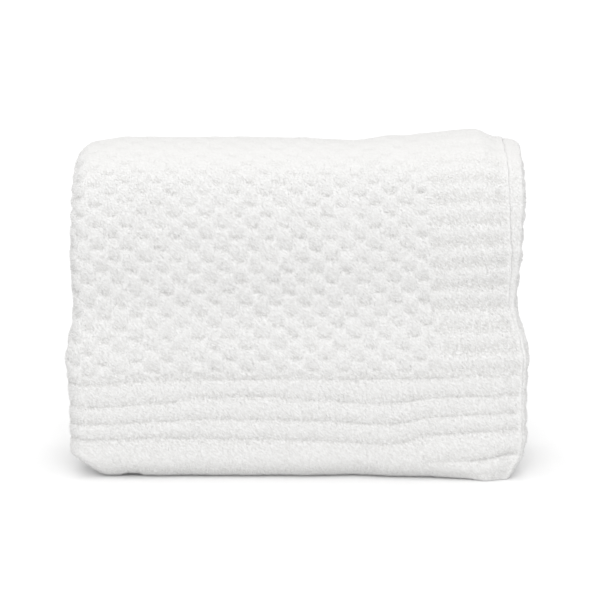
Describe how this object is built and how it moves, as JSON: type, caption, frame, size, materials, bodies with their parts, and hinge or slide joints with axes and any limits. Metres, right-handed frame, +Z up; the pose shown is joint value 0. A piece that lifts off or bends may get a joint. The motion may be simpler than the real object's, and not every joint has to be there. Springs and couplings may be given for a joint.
{
  "type": "basket weave throw blanket",
  "caption": "Thick knitted throw blanket, folded in quarters each way and standing on edge, with a basket weave field and ribbed borders.",
  "frame": {"origin": "on the surface the folded throw stands on, under the middle of its bounding box", "axes": "+X along the folded throw's long side, to the viewer's right; +Y from the front face through the layers to the back; +Z up"},
  "size_m": [0.4638, 0.173, 0.345],
  "materials": {
    "knitted_chenille": "soft matte white chenille knit with a fine short pile"
  },
  "bodies": {
    "root": {"throw_blanket": "knitted_chenille"}
  },
  "joints": []
}
